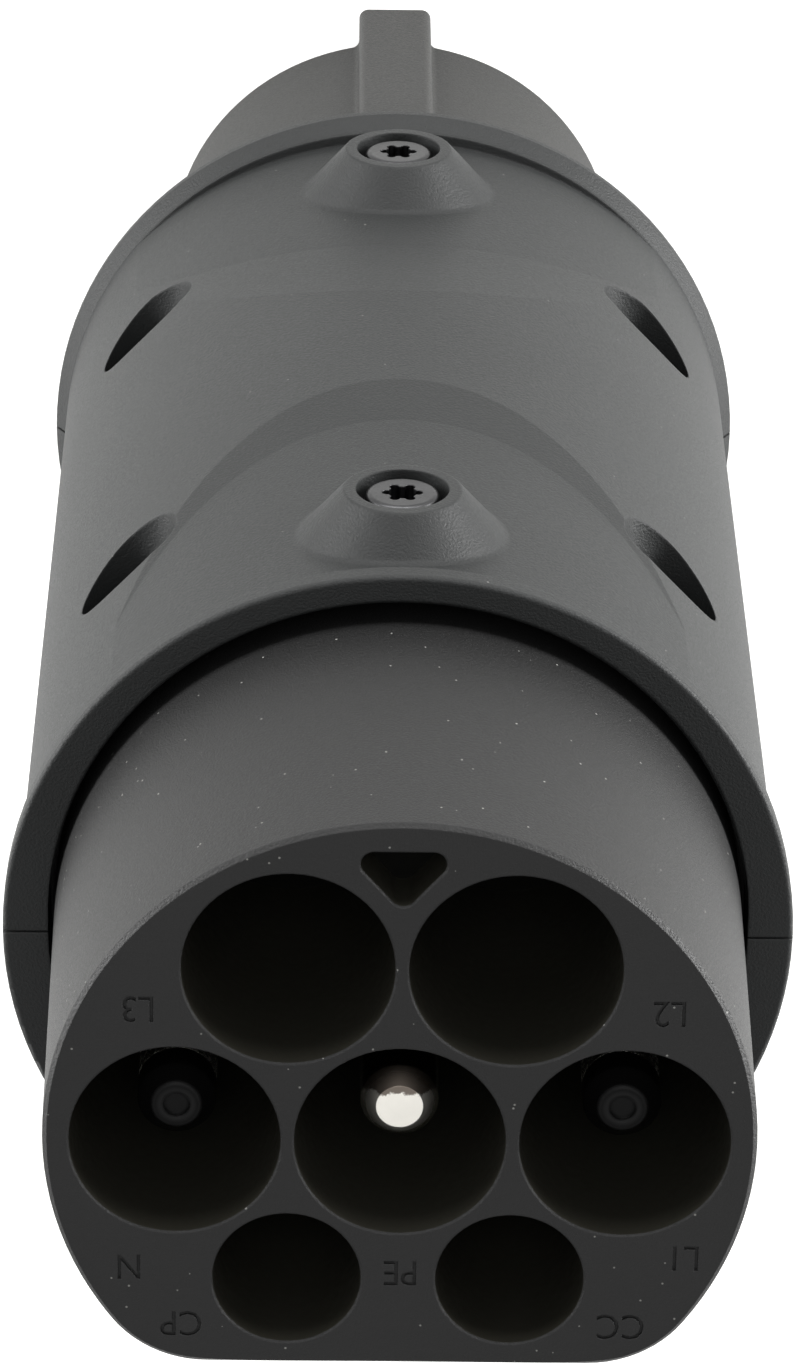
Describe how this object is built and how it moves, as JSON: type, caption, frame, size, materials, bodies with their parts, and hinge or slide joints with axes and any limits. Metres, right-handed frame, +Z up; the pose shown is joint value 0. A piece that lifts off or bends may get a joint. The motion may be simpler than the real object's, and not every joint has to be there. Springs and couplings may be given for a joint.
{
  "type": "ev charging plug",
  "caption": "Round adapter plug for car charging, with a D-shaped nose of deep wells on one end, a keyed barrel on the other and a sprung latch.",
  "frame": {"origin": "centre of the barrel's end face, which the plug stands on", "axes": "+Z up the plug's axis to the contact face of the nose, -Y the screw side with the key rib, +Y the latch side, +X completes the right-handed set"},
  "size_m": [0.0632, 0.066, 0.1784],
  "materials": {
    "brass": "turned brass",
    "earth_jacket": "green insulated copper wire",
    "inner_plastic": "smooth black polyamide",
    "neutral_jacket": "blue insulated copper wire",
    "nose_plastic": "fine textured black flame-retardant polyamide",
    "power_jacket": "black insulated copper wire",
    "screw_steel": "blackened steel",
    "seal_rubber": "soft black silicone rubber",
    "shell_plastic": "fine textured charcoal polycarbonate blend",
    "signal_jacket": "pale insulated copper wire",
    "silver_plate": "silver plated copper alloy, satin",
    "spring_steel": "bright spring steel"
  },
  "bodies": {
    "plug": {"barrel_gasket": "seal_rubber", "carrier_screw_1": "screw_steel", "carrier_screw_2": "screw_steel", "carrier_screw_3": "screw_steel", "earth_pin": "silver_plate", "earth_socket": "silver_plate", "earth_wire": "earth_jacket", "front_boss_insert": "brass", "front_boss_screw": "screw_steel", "front_left_insert": "brass", "front_left_screw": "screw_steel", "front_right_insert": "brass", "front_right_screw": "screw_steel", "latch_pin": "spring_steel", "latch_spring": "spring_steel", "line_pin": "silver_plate", "line_pin_cap": "inner_plastic", "line_socket": "silver_plate", "line_wire": "power_jacket", "neutral_pin": "silver_plate", "neutral_pin_cap": "inner_plastic", "neutral_socket": "silver_plate", "neutral_wire": "neutral_jacket", "nose_gasket": "seal_rubber", "parting_seal_left": "seal_rubber", "parting_seal_right": "seal_rubber", "pilot_pin": "silver_plate", "pilot_socket": "silver_plate", "pilot_wire": "signal_jacket", "plain_side_shell": "shell_plastic", "proximity_pin": "silver_plate", "proximity_socket": "silver_plate", "proximity_wire": "signal_jacket", "rear_boss_insert": "brass", "rear_boss_screw": "screw_steel", "rear_left_insert": "brass", "rear_left_screw": "screw_steel", "rear_right_insert": "brass", "rear_right_screw": "screw_steel", "retainer_screw_1": "screw_steel", "retainer_screw_2": "screw_steel", "retainer_screw_3": "screw_steel", "screw_side_shell": "shell_plastic", "socket_retainer": "inner_plastic", "type1_barrel": "nose_plastic", "type1_contact_block": "inner_plastic", "type2_contact_carrier": "inner_plastic", "type2_nose": "nose_plastic"},
    "latch": {"latch_lever": "nose_plastic"}
  },
  "joints": [
    {"name": "latch_hinge", "type": "hinge", "parent": "plug", "child": "latch", "pos_m": [0, 0.0264, 0.072], "axis": [1, 0, 0], "range_deg": [0, 6], "stiffness_Nm_per_rad": 0.6, "springref_deg": -6.88, "deforming": ["latch_spring"]}
  ]
}
